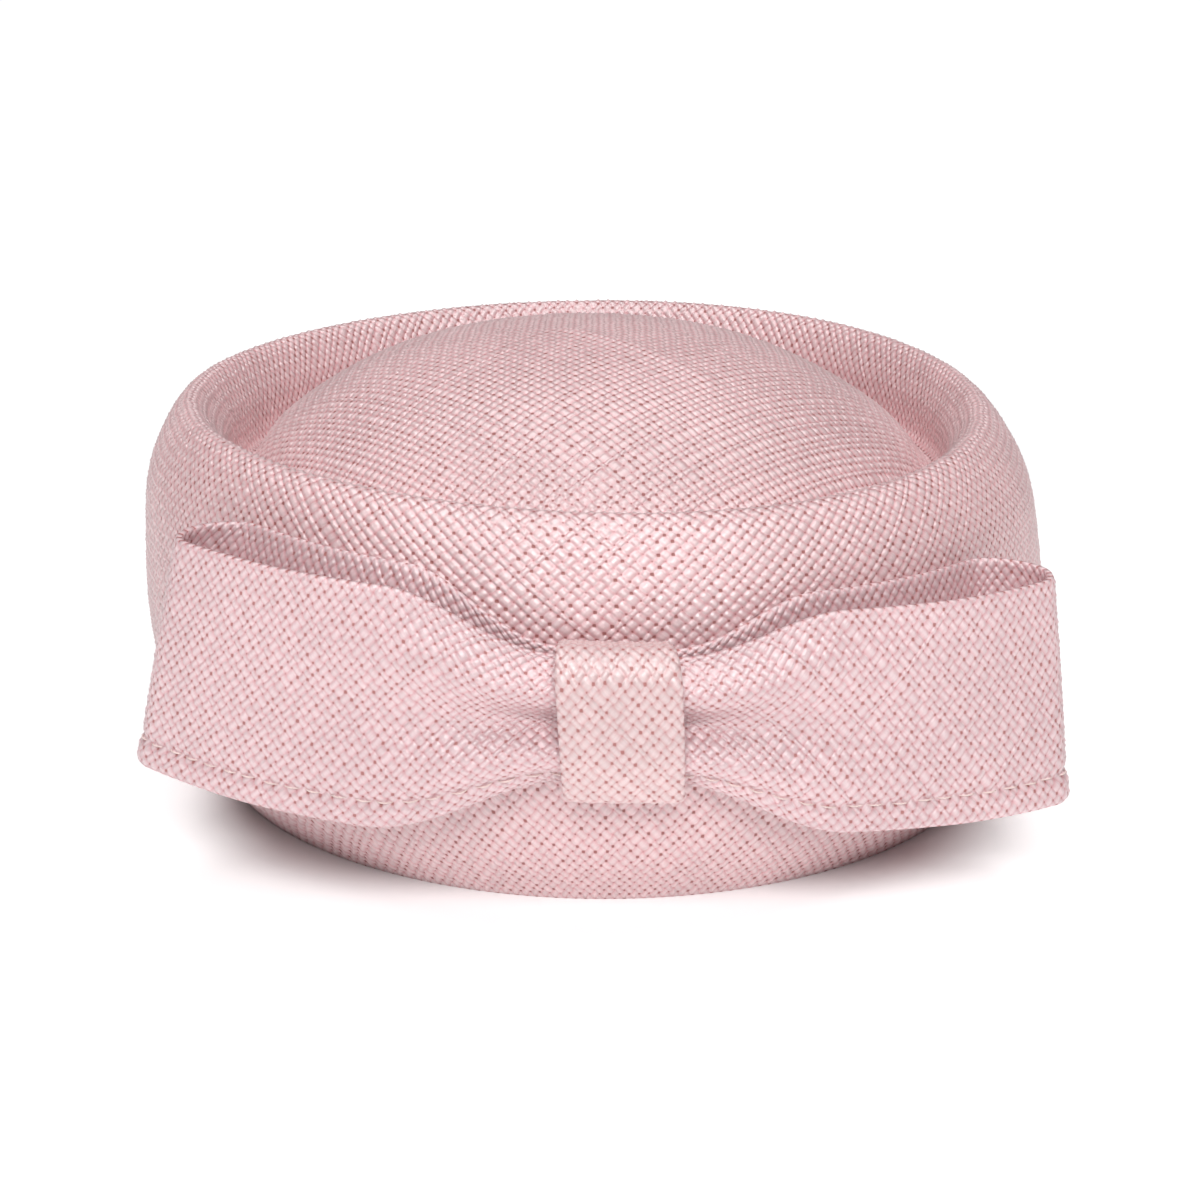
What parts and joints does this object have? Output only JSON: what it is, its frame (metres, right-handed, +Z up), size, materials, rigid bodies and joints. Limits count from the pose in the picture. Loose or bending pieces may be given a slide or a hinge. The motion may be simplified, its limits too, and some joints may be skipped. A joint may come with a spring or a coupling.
{
  "type": "pillbox hat",
  "caption": "Small round hat of blocked straw with a rolled rim, a domed tip and a flat bow across the front; open underneath.",
  "frame": {"origin": "middle of the lower side of the whole hat's bounding box, on the surface that the hat rests on", "axes": "+Z up through the tip, -Y towards the bow, +X to the right of someone facing the bow"},
  "size_m": [0.1914, 0.2038, 0.0912],
  "materials": {
    "crown_straw": "glossy plain-woven straw, pale pink",
    "bow_straw": "finer plain-woven straw cloth, pale pink"
  },
  "bodies": {
    "root": {"crown": "crown_straw", "bow_loop_left": "bow_straw", "bow_loop_right": "bow_straw", "bow_knot": "bow_straw"}
  },
  "joints": []
}
